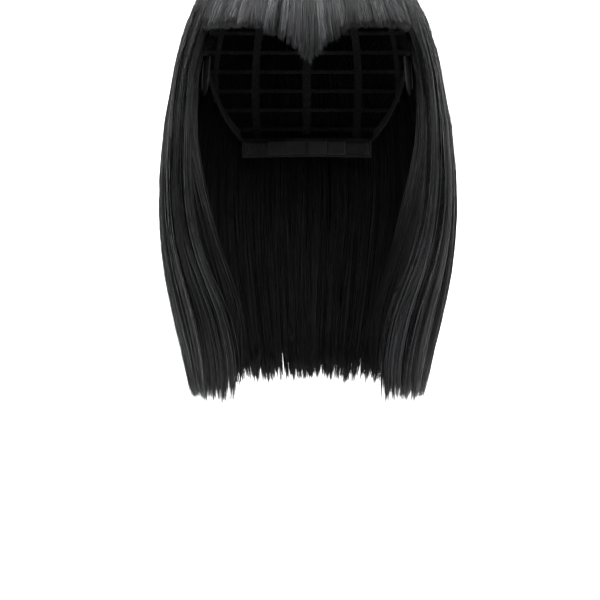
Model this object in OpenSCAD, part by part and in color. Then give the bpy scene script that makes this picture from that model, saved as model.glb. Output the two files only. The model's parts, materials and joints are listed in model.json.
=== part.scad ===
// Costume wig: a straight shoulder-length bob with a pointed fringe, on a stretch cap.
// Origin: centre of the head's circumference plane, inside the cap. +Z up, face towards -Y.
// Left and right are the wearer's: left is +X. Azimuth 0 is the front, 90 the wearer's left, 180 the back.

/* [Head the cap fits] */
// Width of the head at its widest level
head_w = 151; // [140:1:160]
// Depth of the head, forehead to back
head_d = 190; // [180:1:200]
// Height of the head's top above its widest level
head_rise = 100; // [95:1:105]
// Half height of the oval below the widest level
head_drop = 125; // [115:1:135]
// Height of the widest level, measured from the circumference plane
widest_z = -18; // [-20:1:-16]
// Squareness of the head's side profile, where 2 is an ellipse
profile_power = 2.3; // [2.2:0.05:2.4]

/* [Hair shape] */
// Half width of the hair dome at its widest
dome_w = 96; // [94:0.5:100]
// Depth of the hair dome in front of the origin
dome_front = 107; // [107:0.5:112]
// Depth of the hair dome behind the origin
dome_back = 114; // [113.5:0.5:120]
// Height of the top of the hair
dome_top = 96; // [94:0.5:100]
// Height of the hair dome's widest level
dome_z = -35; // [-40:1:-30]
// Depth of the hair's tips below the circumference plane
tip_drop = 241; // [200:1:260]
// Thickness of the hair curtains at the tips
tip_thick = 8; // [5:0.5:10]

/* [Fringe] */
// Height of the fringe's straight edge
fringe_edge_z = 20.5; // [14:0.5:26]
// How far the middle point of the fringe hangs below the straight edge
point_drop = 22; // [5:1:30]
// Half width of the pointed part
point_half_w = 35; // [20:1:36]
// Thickness of the fringe
fringe_thick = 6; // [4:0.5:6.5]

/* [Cap] */
// Thickness of the stretch net
net_thick = 0.5; // [0.3:0.1:0.6]
// Width of the elastic tapes down the back
tape_w = 8; // [5:1:12]
// Height of a sewn weft track
track_h = 3; // [2:0.5:4]
// Height of the nape band
nape_band_h = 14; // [12:1:18]
// Radius of the nape band's inner face
nape_r = 54.9; // [54:0.1:55]

/* [Adjusters and ear tabs] */
// Height of the elastic strap and its hook tab
strap_h = 10; // [6:1:12]
// Angle that a hook tab covers round the nape
tab_angle = 16; // [12:1:18]
// Width of an ear tab
ear_tab_w = 22; // [16:1:24]
// Length of an ear tab
ear_tab_drop = 28; // [20:1:32]

/* [Hidden] */

// Distances of the cap's layers from the head; the elastic bands press into it a little
band_layer = [-1, -0.3];
net_layer = [1, 1 + net_thick];
tape_layer = [1.9, 2.4];
track_layer = [2.8, 3.4];
hair_layer = 4.2;
seam_gap = 0.6;

// Level of the seam under which the side and back hair swings, and the plane between them
swing_z = 25;
side_back_y = 45;
crown_rim_z = swing_z + seam_gap;
front_rim_z = 49;
fringe_split_x = 37;
fringe_end_azimuth = 63;

// Outline of the hair below the dome: [height, half width], [height, depth in front], [height, depth behind]
dome_end_z = -20;
width_stations = [[-241, 81.6], [-215, 86.8], [-190, 93], [-160, 99.6], [-130, 103.6],
    [-103, 104.7], [-75, 103.7], [-42, 100.5], [dome_end_z, 95.6]];
front_stations = [[-241, 76], [-200, 80], [-150, 88], [-103, 96], [-50, 101], [0, 102],
    [swing_z, dome_front * profile_share(dome_level(swing_z))]];
back_stations = [[-241, 89], [-200, 97], [-150, 107], [-103, 113.5], [-60, 115.5], [-30, 114.5],
    [0, dome_back * profile_share(dome_level(0))]];

// Front edge of the side hair: [height, azimuth]
edge_stations = [[-241, 40], [-206, 33.5], [-170, 32], [-135, 39], [-100, 45], [-50, 50.5], [0, 57], [swing_z, 68]];

// Thickness of the hair curtains: [height, thickness]
thick_stations = [[-241, tip_thick], [-150, 13], [-20, 13], [0, 11], [swing_z, 9.5]];

// Lower edge of the cap: [azimuth, height]
rim_stations = [[0, 50], [30, 46], [55, 28], [66, 4], [84, 4], [104, -4], [128, -48], [142, -66], [180, -72]];
ear_azimuth = 75;
ear_hinge_z = 3;

// Nape band and adjusters, measured round the nape's own vertical axis from the back
nape_y = 33.5;
nape_z = -71;
nape_half_angle = 58;
tab_start = 16;
strap_end = 53;
anchor_end = 57;
strap_r = 53;
strap_z = nape_z + (nape_band_h - strap_h) / 2;

black_fibre = [0.10, 0.10, 0.11];
net_colour = [0.07, 0.07, 0.08];
tape_colour = [0.13, 0.13, 0.14];
skin_colour = [0.55, 0.43, 0.34];

function mix(a, b, u) = a + (b - a) * u;

// Azimuth folded to 0..180, so that both sides share one table
function fold(a) = abs(a) > 180 ? 360 - abs(a) : abs(a);

// Width left at a level of an oval, and depth left there, as shares of its widest; level runs from 0 to 1
function width_share(level) = sqrt(1 - pow(level, 2));
function profile_share(level) = pow(1 - pow(abs(level), profile_power), 1 / profile_power);

// Point of the head at an azimuth and elevation, pushed outwards by t
function head_point(a, e, t) = [
    (head_w / 2 + t) * cos(e) * sin(a),
    -(head_d / 2 + t) * profile_share(sin(e)) * cos(a),
    widest_z + ((e > 0 ? head_rise : head_drop) + t) * sin(e)
];

// Elevation on the head at which a layer has a height
function head_elevation(z, t) = asin((z - widest_z) / ((z > widest_z ? head_rise : head_drop) + t));

function head_at(a, z, t) = head_point(a, head_elevation(z, t), t);

function dome_level(z) = (z - dome_z) / (dome_top - dome_z);

function hair_w(z) = z > dome_end_z ? dome_w * width_share(dome_level(z)) : lookup(z, width_stations);
function hair_front(z) = z > swing_z ? dome_front * profile_share(dome_level(z)) : lookup(z, front_stations);
function hair_back(z) = z > 0 ? dome_back * profile_share(dome_level(z)) : lookup(z, back_stations);
function hair_depth(a, z) = fold(a) < 90 ? hair_front(z) : hair_back(z);

// Point of the hair's outer surface at an azimuth and height, moved inwards by inset
function hair_at(a, z, inset) = [
    (hair_w(z) - inset) * sin(a),
    -(hair_depth(a, z) - inset) * cos(a),
    z
];

// Height of the crown hair's lower edge, which steps up over the fringe
function crown_rim(a) = lookup(fold(a), [[36, front_rim_z], [68, 35], [74, crown_rim_z]]);

function cap_rim(a) = lookup(fold(a), rim_stations);

// Height of the fringe's lower edge across the forehead
function fringe_edge(x) = fringe_edge_z
    - (abs(x) < point_half_w ? point_drop * pow(1 - abs(x) / point_half_w, 1.9) : 0);

function two_triangles(q) = [[q[0], q[1], q[2]], [q[0], q[2], q[3]]];

// A closed solid between an inner and an outer skin, on a grid of n by m cells. place(u, v, k) gives
// a point: u runs with the azimuth and v upwards, from 0 to 1, and k is 0 inside and 1 outside.
module shell_patch(place, n, m) {
    row = n + 1;
    skin = row * (m + 1);
    function id(i, j, k) = k * skin + j * row + i;
    points = [for (k = [0, 1], j = [0:m], i = [0:n]) place(i / n, j / m, k)];
    quads = concat(
        [for (j = [0:m - 1], i = [0:n - 1]) [id(i, j, 1), id(i, j + 1, 1), id(i + 1, j + 1, 1), id(i + 1, j, 1)]],
        [for (j = [0:m - 1], i = [0:n - 1]) [id(i, j, 0), id(i + 1, j, 0), id(i + 1, j + 1, 0), id(i, j + 1, 0)]],
        [for (i = [0:n - 1]) [id(i, 0, 1), id(i + 1, 0, 1), id(i + 1, 0, 0), id(i, 0, 0)]],
        [for (i = [0:n - 1]) [id(i + 1, m, 1), id(i, m, 1), id(i, m, 0), id(i + 1, m, 0)]],
        [for (j = [0:m - 1]) [id(0, j + 1, 1), id(0, j, 1), id(0, j, 0), id(0, j + 1, 0)]],
        [for (j = [0:m - 1]) [id(n, j, 1), id(n, j + 1, 1), id(n, j + 1, 0), id(n, j, 0)]]
    );
    polyhedron(points, [for (q = quads) each two_triangles(q)], convexity = 6);
}

// The same for a dome: u goes once round, and v runs from the rim to the top, which is one point
module shell_dome(place, n, m) {
    skin = n * m + 1;
    function id(i, j, k) = k * skin + j * n + i % n;
    function top(k) = k * skin + n * m;
    points = [for (k = [0, 1]) each concat(
        [for (j = [0:m - 1], i = [0:n - 1]) place(i / n, j / m, k)],
        [place(0, 1, k)]
    )];
    quads = concat(
        [for (j = [0:m - 2], i = [0:n - 1]) [id(i, j, 1), id(i, j + 1, 1), id(i + 1, j + 1, 1), id(i + 1, j, 1)]],
        [for (j = [0:m - 2], i = [0:n - 1]) [id(i, j, 0), id(i + 1, j, 0), id(i + 1, j + 1, 0), id(i, j + 1, 0)]],
        [for (i = [0:n - 1]) [id(i, 0, 1), id(i + 1, 0, 1), id(i + 1, 0, 0), id(i, 0, 0)]]
    );
    fans = [for (i = [0:n - 1]) each [
        [id(i, m - 1, 1), top(1), id(i + 1, m - 1, 1)],
        [id(i, m - 1, 0), id(i + 1, m - 1, 0), top(0)]
    ]];
    polyhedron(points, concat([for (q = quads) each two_triangles(q)], fans), convexity = 6);
}

// A strip of one layer between two azimuths, standing on the height that low(a) gives
module strip(from, to, low, height, layer, cells) {
    shell_patch(function(u, v, k) let(a = mix(from, to, u)) head_at(a, low(a) + v * height, layer[k]), cells, 1);
}

// Left and right pieces are mirror images
module on_side(side) {
    mirror([side == "left" ? 0 : 1, 0, 0]) children();
}

module crown_net() {
    color(net_colour)
        shell_dome(function(u, v, k) let(a = 360 * u)
            head_point(a, mix(head_elevation(cap_rim(a), net_layer[k]), 90, v), net_layer[k]), 60, 12);
}

// Skin-like top that the crown's fibres are implanted in
module crown_patch() {
    color(skin_colour)
        shell_dome(function(u, v, k) head_point(360 * u, mix(64, 90, v), tape_layer[k]), 48, 4);
}

module front_band() {
    color(tape_colour) strip(-58, 58, function(a) cap_rim(a) + 1, 12, band_layer, 20);
}

module side_band(side) {
    color(tape_colour) on_side(side) strip(88, 138, function(a) cap_rim(a) + 1, 8, band_layer, 9);
}

// A block round the nape between two angles from the back, on the wearer's left
module nape_arc(from, to, r, thick, z, height) {
    translate([0, nape_y, z])
        rotate([0, 0, 90 - to])
            rotate_extrude(angle = to - from, $fn = 180)
                translate([r, 0])
                    square([thick, height]);
}

module nape_band() {
    color(tape_colour) nape_arc(-nape_half_angle, nape_half_angle, nape_r, 1, nape_z, nape_band_h);
}

// Elastic tape down the back of the net, the same width all the way
module back_tape(i) {
    middle = mix(122, 238, (i - 1) / 4);
    low_z = i == 1 || i == 5 ? -30 : -64;
    color(tape_colour)
        shell_patch(function(u, v, k)
            let(e = mix(head_elevation(low_z, 2), 60, v))
            let(half_angle = atan(tape_w / 2 / (head_d / 2 * profile_share(sin(e)))))
            head_point(middle + (2 * u - 1) * half_angle, e, tape_layer[k]), 2, 14);
}

// Folded and stitched edge of a weft
module track(from, to, z, cells) {
    color(black_fibre) strip(from, to, function(a) z, track_h, track_layer, cells);
}

module back_track(i) {
    z = 18 - 14 * (i - 1);
    half = i < 3 ? 75 : 70 - 6 * (i - 2);
    track(180 - half, 180 + half, z, 24);
}

module side_tracks(side) {
    on_side(side) {
        for (z = [8, 18])
            track(70, 102, z, 6);
    }
}

module fringe_track(i) {
    z = i == 1 ? 51 : 57;
    track(-58, 58, z, 20);
}

// Horseshoe tracks over the crown, open at the front
module crown_track(i) {
    z = [31, 43, 54, 64][i - 1];
    from = i < 3 ? 74 : 64;
    track(from, 360 - from, z, 36);
}

// Loop strip inside the nape band that the hook tab lands on
module landing_strip(side) {
    color(net_colour) on_side(side) nape_arc(1, 30, nape_r - 0.7, 0.6, strap_z, strap_h);
}

// Sewn end of the elastic strap
module strap_anchor(side) {
    color(tape_colour) on_side(side)
        nape_arc(strap_end, anchor_end, strap_r, nape_r - strap_r - 0.1, strap_z, strap_h);
}

module strap(side) {
    color(tape_colour) on_side(side)
        nape_arc(tab_start + tab_angle + 0.2, strap_end - 0.1, strap_r, 0.9, strap_z + 1, strap_h - 2);
}

module adjuster_tab(side) {
    color(net_colour) on_side(side)
        nape_arc(tab_start, tab_start + tab_angle, strap_r, 1, strap_z, strap_h);
}

// Flap in front of the ear, with a rounded lower end
module ear_tab(side) {
    radius = head_w / 2;
    function half_angle(v) = atan(ear_tab_w / 2 / radius) * (v < 0.4 ? sqrt(1 - pow(1 - v / 0.4, 2) * 0.9) : 1);
    color(tape_colour) on_side(side)
        shell_patch(function(u, v, k) head_at(ear_azimuth + (2 * u - 1) * half_angle(v),
            ear_hinge_z - ear_tab_drop * (1 - v), band_layer[k]), 6, 8);
}

// Bendable stay on the ear tab
module ear_stay(side) {
    color(net_colour) on_side(side)
        shell_patch(function(u, v, k) head_at(ear_azimuth + (2 * u - 1) * 2,
            mix(ear_hinge_z - 24, ear_hinge_z - 3, v), mix(0.9, 1.6, k)), 1, 6);
}

module hair_crown() {
    function outer(a, e) = [
        dome_w * cos(e) * sin(a),
        -(fold(a) < 90 ? dome_front : dome_back) * profile_share(sin(e)) * cos(a),
        dome_z + (dome_top - dome_z) * sin(e)
    ];
    color(black_fibre)
        shell_dome(function(u, v, k) let(a = 360 * u)
            k == 0 ? head_point(a, mix(head_elevation(crown_rim(a), hair_layer), 90, v), hair_layer)
                : outer(a, mix(asin(dome_level(crown_rim(a))), 90, v)), 60, 9);
}

// Middle of the fringe, with its point
module hair_fringe_centre() {
    color(black_fibre)
        shell_patch(function(u, v, k)
            let(x = mix(-fringe_split_x, fringe_split_x, u), inset = fringe_thick * (1 - k))
            let(z = mix(fringe_edge(x), front_rim_z - seam_gap, v))
            hair_at(asin(x / (hair_w(z) - inset)), z, inset), 24, 6);
}

// Side of the fringe, out to the temple
module hair_fringe(side) {
    color(black_fibre) on_side(side)
        shell_patch(function(u, v, k)
            let(inset = fringe_thick * (1 - k))
            let(top = crown_rim(mix(36, fringe_end_azimuth + 4, u)) - 1)
            let(z = mix(fringe_edge_z, top, v))
            let(start = asin((fringe_split_x + seam_gap) / (hair_w(z) - inset)))
            hair_at(mix(start, fringe_end_azimuth, u), z, inset), 8, 5);
}

// Shares of the curtain's thickness that an under layer and an outer layer fill
under_share = [1, 0.6];
outer_share = [0.5, 0];

module hair_side(side, share, top) {
    color(black_fibre) on_side(side)
        shell_patch(function(u, v, k)
            let(z = mix(-tip_drop, top, v))
            let(inset = share[k] * lookup(z, thick_stations))
            let(back = 90 + asin(side_back_y / (hair_back(z) - inset)))
            hair_at(mix(lookup(z, edge_stations), back, u), z, inset), 10, 16);
}

module hair_back_curtain(share, top) {
    color(black_fibre)
        shell_patch(function(u, v, k)
            let(z = mix(-tip_drop, top, v))
            let(inset = share[k] * lookup(z, thick_stations))
            let(start = 90 + asin((side_back_y + seam_gap) / (hair_back(z) - inset)))
            hair_at(mix(start, 360 - start, u), z, inset), 18, 16);
}

crown_net();
crown_patch();
front_band();
nape_band();
hair_crown();
hair_fringe_centre();
hair_back_curtain(outer_share, swing_z);  // hair_back_outer
hair_back_curtain(under_share, swing_z - 12);  // hair_back_under
for (i = [1:5]) back_tape(i);
for (i = [1:6]) back_track(i);
for (i = [1:4]) crown_track(i);
for (i = [1:2]) fringe_track(i);
for (side = ["left", "right"]) {
    side_band(side);
    side_tracks(side);
    landing_strip(side);
    strap_anchor(side);
    strap(side);
    adjuster_tab(side);
    ear_tab(side);
    ear_stay(side);
    hair_fringe(side);
    hair_side(side, outer_share, swing_z);
    hair_side(side, under_share, swing_z - 12);
}
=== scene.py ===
"""Costume wig: the looks of a straight black bob on its stretch cap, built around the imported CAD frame."""
import json
import math

import bpy
import numpy as np
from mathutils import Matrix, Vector
from mathutils.bvhtree import BVHTree


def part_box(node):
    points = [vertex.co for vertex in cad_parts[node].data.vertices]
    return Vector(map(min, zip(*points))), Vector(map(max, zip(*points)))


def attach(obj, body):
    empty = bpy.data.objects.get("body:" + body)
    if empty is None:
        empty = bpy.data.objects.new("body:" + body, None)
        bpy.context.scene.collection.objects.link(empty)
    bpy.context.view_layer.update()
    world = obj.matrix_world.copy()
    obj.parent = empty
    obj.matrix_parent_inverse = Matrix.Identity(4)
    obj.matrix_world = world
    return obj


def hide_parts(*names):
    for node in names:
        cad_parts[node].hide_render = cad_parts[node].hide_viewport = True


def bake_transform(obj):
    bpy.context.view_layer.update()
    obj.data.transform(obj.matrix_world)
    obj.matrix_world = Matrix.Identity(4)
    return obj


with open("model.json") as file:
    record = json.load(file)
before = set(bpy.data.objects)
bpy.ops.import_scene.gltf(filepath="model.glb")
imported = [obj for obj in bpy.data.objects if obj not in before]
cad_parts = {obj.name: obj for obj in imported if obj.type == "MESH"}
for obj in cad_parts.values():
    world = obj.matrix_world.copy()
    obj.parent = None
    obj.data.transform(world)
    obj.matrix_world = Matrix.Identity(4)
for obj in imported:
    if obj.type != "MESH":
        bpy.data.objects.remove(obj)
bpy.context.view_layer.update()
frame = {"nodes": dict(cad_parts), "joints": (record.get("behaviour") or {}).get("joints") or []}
nodes = frame["nodes"]
MM = 0.001
SEED = 20


# ------------ small tools

def mix(a, b, u):
    return a + (b - a) * u


def smooth(u):
    u = np.clip(u, 0.0, 1.0)
    return u * u * (3.0 - 2.0 * u)


def unit(v):
    return v / np.maximum(np.linalg.norm(v, axis=-1, keepdims=True), 1e-12)


def lengths(v):
    return np.linalg.norm(v, axis=-1)


def smoothed(values, width):
    """A row of numbers evened out along its length, with its ends kept."""
    reach = int(3 * width)
    kernel = np.exp(-0.5 * (np.arange(-reach, reach + 1) / width) ** 2)
    first, last = values[0], values[-1]
    before = 2 * first - values[reach:0:-1]
    after = 2 * last - values[-2:-reach - 2:-1]
    padded = np.concatenate([before, values, after])
    return np.convolve(padded, kernel / kernel.sum(), mode="valid")


def placed(name, data):
    """A new object in the scene."""
    ob = bpy.data.objects.new(name, data)
    bpy.context.scene.collection.objects.link(ob)
    return ob


class Build:
    """Collects skins of points, with a material number each, and turns them into one mesh object."""
    COLUMN_MARGIN = 0.1

    def __init__(self):
        self.verts, self.faces, self.uvs, self.numbers = [], [], [], []
        self.count = 0

    def skins(self, rings, columns=None, column=None, window=(0.01, 0.99), number=0):
        """Closed skins through rings of points, given as (skins, rings, points round, 3).
        Each skin lies in one column of the texture, from low to high in the window along its length."""
        n, length, sides, _ = rings.shape
        columns = columns or n
        column = np.arange(n) % columns if column is None else column
        starts = self.count + np.arange(n) * length * sides
        row = starts[:, None, None] + (np.arange(length - 1) * sides)[None, :, None]
        k = np.arange(sides)[None, None, :]
        k2 = (k + 1) % sides
        quads = np.stack([row + k, row + k2, row + sides + k2, row + sides + k], -1)
        first = starts[:, None] + np.arange(sides)[::-1]
        last = starts[:, None] + (length - 1) * sides + np.arange(sides)
        low, span = self.COLUMN_MARGIN, 1 - 2 * self.COLUMN_MARGIN
        u0 = (column[:, None, None] + low + span * k / sides) / columns
        u1 = (column[:, None, None] + low + span * (k + 1) / sides) / columns
        steps = mix(window[0], window[1], np.linspace(0, 1, length))
        u0, u1, v0, v1 = np.broadcast_arrays(u0, u1, steps[None, :-1, None], steps[None, 1:, None])
        corners = [np.stack(c, -1) for c in ((u0, v0), (u1, v0), (u1, v1), (u0, v1))]
        middle = np.repeat((column + 0.5) / columns, sides)
        ends = [np.stack([middle, np.full(n * sides, v)], -1) for v in window]
        self.verts.append(rings.reshape(-1, 3))
        self.faces += [quads.reshape(-1, 4), first, last]
        self.uvs += [np.stack(corners, -2).reshape(-1, 2)] + ends
        self.numbers += [np.full(len(f.reshape(-1, f.shape[-1])), number) for f in (quads, first, last)]
        self.count += n * length * sides

    def finish(self, name, materials, slot):
        me = bpy.data.meshes.new(name)
        verts = np.concatenate(self.verts).astype(np.float32)
        sizes = np.concatenate([np.full(len(f), f.shape[1], np.int32) for f in self.faces])
        starts = np.concatenate([[0], np.cumsum(sizes)[:-1]]).astype(np.int32)
        loops = np.concatenate([f.ravel() for f in self.faces]).astype(np.int32)
        uvs = np.concatenate(self.uvs).astype(np.float32)
        me.vertices.add(len(verts))
        me.vertices.foreach_set("co", verts.ravel())
        me.loops.add(len(loops))
        me.loops.foreach_set("vertex_index", loops)
        me.polygons.add(len(sizes))
        me.polygons.foreach_set("loop_start", starts)
        me.uv_layers.new(name="OFBake").data.foreach_set("uv", uvs.ravel())
        me.update(calc_edges=True)
        for mat in materials:
            me.materials.append(mat)
        me.polygons.foreach_set("material_index", np.concatenate(self.numbers).astype(np.int32))
        me.polygons.foreach_set("use_smooth", np.ones(len(sizes), bool))
        me.update()
        ob = placed(name, me)
        return ob


def tubes(centre, side, across, thick, sides=3):
    """Rings of tubes along rows of points. centre is (n, rings, 3), side is a direction across each ring,
    and across and thick are the half sizes of the ring along side and square to it, as (n, rings)."""
    tangent = unit(np.gradient(centre, axis=1))
    side = unit(side - tangent * (side * tangent).sum(-1, keepdims=True))
    up = np.cross(side, tangent)
    angles = np.arange(sides) * 2 * np.pi / sides + np.pi / 2
    sideways = np.cos(angles)[:, None] * across[:, :, None, None]
    upwards = np.sin(angles)[:, None] * thick[:, :, None, None]
    return centre[:, :, None] + side[:, :, None] * sideways + up[:, :, None] * upwards


# ------------ materials

def material(name, base, rough, specular):
    """A Principled material, with its node tree and its shader."""
    mat = bpy.data.materials.new(name)
    mat.use_nodes = True
    tree = mat.node_tree
    p = tree.nodes["Principled BSDF"]
    p.inputs["Base Color"].default_value = (*base, 1)
    p.inputs["Roughness"].default_value = rough
    p.inputs["Specular IOR Level"].default_value = specular
    return mat, tree, p


def add(tree, kind, **settings):
    """A new node. A setting is a link or a value for the input of that name, or a property of the node."""
    node = tree.nodes.new(kind)
    for key, value in settings.items():
        if isinstance(value, bpy.types.NodeSocket):
            tree.links.new(value, node.inputs[key])
        elif key in node.inputs:
            node.inputs[key].default_value = value
        else:
            setattr(node, key, value)
    return node


def ramp(tree, fac, stops):
    """A colour ramp through stops of (place, colour)."""
    node = tree.nodes.new("ShaderNodeValToRGB")
    tree.links.new(fac, node.inputs[0])
    while len(node.color_ramp.elements) < len(stops):
        node.color_ramp.elements.new(0.5)
    for element, (at, colour) in zip(node.color_ramp.elements, stops):
        element.position = at
        element.color = (*colour, 1)
    return node.outputs["Color"]


def maths(tree, operation, a, b=None):
    node = tree.nodes.new("ShaderNodeMath")
    node.operation = operation
    for i, v in enumerate((a, b)):
        if v is None:
            continue
        if isinstance(v, (int, float)):
            node.inputs[i].default_value = v
        else:
            tree.links.new(v, node.inputs[i])
    return node.outputs[0]


def weighted(tree, *terms):
    """The sum of values, each given with its share."""
    total = None
    for value, share in terms:
        part = maths(tree, "MULTIPLY", value, share)
        total = part if total is None else maths(tree, "ADD", total, part)
    return total


BLACK, WHITE = (0, 0, 0), (1, 1, 1)
COLUMNS = 256  # columns of the hair texture: a strand lies in one
SHADES = 8  # columns next to each other that make one wisp
STRAND_SHARE, WISP_SHARE, DRIFT_SHARE = 0.2, 0.5, 0.3
DRIFTS = 9.0  # changes of shade along a strand
DARK_UNTIL, MIDDLE_AT, LIGHT_FROM = 0.3, 0.58, 0.78
MIDDLE_TONE = 0.14  # how far the middle tone lies from dark to light
TIP_FROM = 0.94  # share of the length at which the tip's colour starts


def hair_material(name, dark, light, tip, rough, specular, spread):
    """Synthetic fibre: each wisp and each strand has its own shade, which drifts along it and ends in the
    tip's colour. Spread is how much rougher the pale strands are than the dark ones."""
    mat, tree, p = material(name, dark, rough, specular)
    uv = add(tree, "ShaderNodeUVMap", uv_map="OFBake")
    across, along, _ = add(tree, "ShaderNodeSeparateXYZ", Vector=uv.outputs[0]).outputs
    column = maths(tree, "FLOOR", maths(tree, "MULTIPLY", across, float(COLUMNS)))
    wisp = maths(tree, "FLOOR", maths(tree, "DIVIDE", column, float(SHADES)))
    own = add(tree, "ShaderNodeTexWhiteNoise", noise_dimensions="1D", W=column)
    shared = add(tree, "ShaderNodeTexWhiteNoise", noise_dimensions="1D", W=wisp)
    where = add(tree, "ShaderNodeCombineXYZ", X=column, Y=maths(tree, "MULTIPLY", along, DRIFTS))
    drift = add(tree, "ShaderNodeTexNoise", noise_dimensions="2D", Vector=where.outputs[0],
                Scale=1.0, Detail=2.0)
    value = weighted(tree, (own.outputs["Value"], STRAND_SHARE), (shared.outputs["Value"], WISP_SHARE),
                     (drift.outputs["Fac"], DRIFT_SHARE))
    middle = [mix(d, l, MIDDLE_TONE) for d, l in zip(dark, light)]
    body = ramp(tree, value, [(DARK_UNTIL, dark), (MIDDLE_AT, middle), (LIGHT_FROM, light)])
    at_tip = ramp(tree, along, [(TIP_FROM, BLACK), (1.0, WHITE)])
    blend = tree.nodes.new("ShaderNodeMix")
    blend.data_type = "RGBA"
    tree.links.new(at_tip, blend.inputs["Factor"])
    tree.links.new(body, blend.inputs["A"])
    blend.inputs["B"].default_value = (*tip, 1)
    tree.links.new(blend.outputs["Result"], p.inputs["Base Color"])
    rougher = maths(tree, "MULTIPLY", maths(tree, "SUBTRACT", value, 0.5), spread)
    tree.links.new(maths(tree, "ADD", rougher, rough), p.inputs["Roughness"])
    return mat


CLOTH_SPECULAR = 0.3
WEAR_SCALE = 60.0
RIB_SHARE = 0.7  # of the relief, where there are ribs; the grain has the rest
RELIEF_SHADE_SHARE = 0.6  # of the colour's tone, taken from the relief as painted shade: darker in its hollows, lighter on its ridges; the wear has the rest
ROUGH_IN_HOLLOWS = 0.08  # added to the roughness in the hollows
ROUGH_DROP = 0.15  # and taken from it on the ridges
BUMP_HEIGHT = 0.4 * MM


def fabric_material(name, dark, light, rough, ribs=0.0, scale=900.0, bump=0.3):
    """Woven or knitted cloth: a fine ribbed or grainy bump, smoother on the ridges, with painted shade that
    darkens its hollows and leaves the ridges a little lighter.
    """
    mat, tree, p = material(name, dark, rough, CLOTH_SPECULAR)
    where = tree.nodes.new("ShaderNodeTexCoord").outputs["Object"]
    grain = add(tree, "ShaderNodeTexNoise", Vector=where, Scale=scale, Detail=3.0, Roughness=0.6)
    wear = add(tree, "ShaderNodeTexNoise", Vector=where, Scale=WEAR_SCALE, Detail=2.0)
    height = grain.outputs["Fac"]
    if ribs:
        wave = add(tree, "ShaderNodeTexWave", Vector=where, Scale=ribs, bands_direction="Z", Distortion=0.3)
        height = weighted(tree, (wave.outputs["Fac"], RIB_SHARE), (height, 1 - RIB_SHARE))
    # painted shade: the colour follows the relief, darker in its hollows and lighter on its ridges
    value = weighted(tree, (height, RELIEF_SHADE_SHARE), (wear.outputs["Fac"], 1 - RELIEF_SHADE_SHARE))
    tree.links.new(ramp(tree, value, [(0.25, dark), (0.8, light)]), p.inputs["Base Color"])
    smoother = maths(tree, "MULTIPLY", height, -ROUGH_DROP)
    tree.links.new(maths(tree, "ADD", smoother, rough + ROUGH_IN_HOLLOWS), p.inputs["Roughness"])
    relief = add(tree, "ShaderNodeBump", Height=height, Strength=bump, Distance=BUMP_HEIGHT)
    tree.links.new(relief.outputs[0], p.inputs["Normal"])
    return mat


LIT_FIBRE = {"dark": (0.0022, 0.0023, 0.0025), "light": (0.048, 0.0495, 0.054), "specular": 0.5}
# painted shade: a darker, duller copy of the same black fibre for the rows that lie deep in the hair,
# standing in for the shade they lie in
SHADE_PAINTED_FIBRE = {"dark": (0.0015, 0.0015, 0.0016), "light": (0.005, 0.005, 0.0055), "specular": 0.2}
FIBRES = {
    "top": {"tip": (0.05, 0.054, 0.064), "rough": 0.35, "spread": 0.4, **LIT_FIBRE},
    "fringe": {"tip": (0.004, 0.0041, 0.0045), "rough": 0.40, "spread": -0.6, **LIT_FIBRE},
    # painted shade: the under, middle and inner rows and the crown fill take this darker copy of the fibre
    "under": {"tip": (0.02, 0.021, 0.025), "rough": 0.5, "spread": 0.2, **SHADE_PAINTED_FIBRE},
}
CLOTHS = {
    "net_thread": ((0.005, 0.005, 0.0055), (0.016, 0.016, 0.017), 0.75, {"scale": 1500.0}),
    "ribbed_elastic": ((0.007, 0.007, 0.008), (0.024, 0.024, 0.026), 0.8, {"ribs": 300.0}),
    "soft_band": ((0.006, 0.006, 0.007), (0.022, 0.022, 0.024), 0.85, {"scale": 2200.0}),
    "weft_track": ((0.005, 0.005, 0.0055), (0.018, 0.018, 0.02), 0.7, {"scale": 1800.0}),
    "stitch_thread": ((0.014, 0.014, 0.015), (0.045, 0.045, 0.048), 0.6, {"scale": 2500.0}),
    "implanted_skin": ((0.30, 0.19, 0.13), (0.46, 0.32, 0.23), 0.55, {"scale": 700.0, "bump": 0.15}),
    "loop_pile": ((0.012, 0.012, 0.013), (0.05, 0.05, 0.055), 0.8, {"scale": 2500.0}),
    "hook_plastic": ((0.014, 0.014, 0.015), (0.035, 0.035, 0.038), 0.4, {"scale": 400.0, "bump": 0.1}),
}
hair = {name: hair_material(f"hair_fibre_{name}", **look) for name, look in FIBRES.items()}
cloths = {}
for name, (dark, light, rough, finish) in CLOTHS.items():
    cloths[name] = fabric_material(name, dark, light, rough, **finish)


# ------------ the hair's shape, measured on the CAD nodes

def ahead(azimuth):
    """The level direction at an azimuth from dead ahead, towards the wearer's left."""
    return Vector((math.sin(azimuth), -math.cos(azimuth), 0))


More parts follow.
